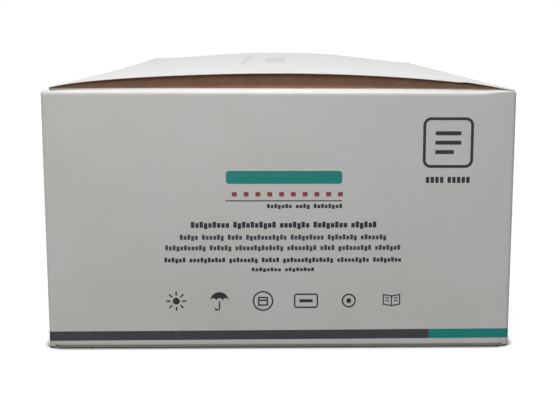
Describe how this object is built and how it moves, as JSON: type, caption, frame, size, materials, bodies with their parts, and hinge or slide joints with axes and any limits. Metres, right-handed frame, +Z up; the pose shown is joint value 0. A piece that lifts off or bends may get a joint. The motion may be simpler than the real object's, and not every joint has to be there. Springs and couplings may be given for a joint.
{
  "type": "folding carton",
  "caption": "Folding board carton with a bowed hinged lid, tuck flap, sprung dust flaps and a plain printed end panel.",
  "frame": {"origin": "middle of the base, on the surface it stands on", "axes": "+Z up; the printed end panel faces -Y and the carton's length runs along +Y; the lid is hinged on the +X long wall"},
  "size_m": [0.13, 0.245, 0.0775],
  "materials": {
    "white_board": "white coated outside with a soft sheen",
    "kraft_board": "raw brown inside, matt",
    "dark_ink": "matt printing ink on board",
    "teal_ink": "matt printing ink on board",
    "red_ink": "matt printing ink on board",
    "grey_ink": "matt printing ink on board"
  },
  "bodies": {
    "carton": {"carton": "white_board"},
    "lid": {"lid": "white_board"}
  },
  "joints": [
    {"name": "lid_hinge", "type": "hinge", "parent": "carton", "child": "lid", "pos_m": [0.0651, 0, 0.07225], "axis": [0, 1, 0], "range_deg": [0, 180]}
  ]
}
